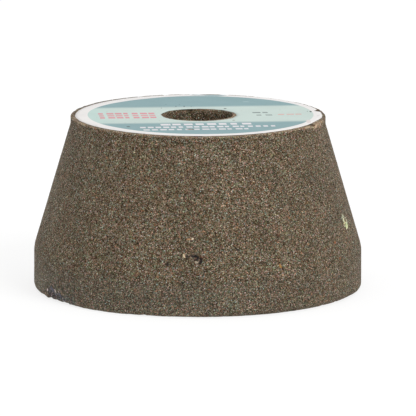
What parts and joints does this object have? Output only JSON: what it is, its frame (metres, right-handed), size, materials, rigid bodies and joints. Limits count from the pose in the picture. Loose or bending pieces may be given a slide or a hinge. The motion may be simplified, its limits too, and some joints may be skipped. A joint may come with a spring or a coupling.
{
  "type": "flaring cup grinding wheel",
  "caption": "Flaring cup grinding wheel of bonded abrasive with a flat grinding rim, a plain centre bore through a thick back web and a paper label on its back.",
  "frame": {"origin": "centre of the wheel in the plane of its grinding rim, which is the plane it stands on", "axes": "+Z along the bore axis, from the grinding rim towards the labelled back; the wheel is round about Z, with +X to the right and -Y to the front in the picture"},
  "size_m": [0.075, 0.075, 0.04],
  "materials": {
    "bonded_abrasive": "rough, open grain of brown, tan and black grit in a dark resin",
    "label_paper": "thin matt paper printed in pale mint and grey-blue with a white border",
    "glass_cloth": "open woven glass-fibre cloth soaked in resin"
  },
  "bodies": {
    "root": {"abrasive_cup": "bonded_abrasive", "back_label": "label_paper", "back_glass_net": "glass_cloth", "floor_glass_net": "glass_cloth"}
  },
  "joints": []
}
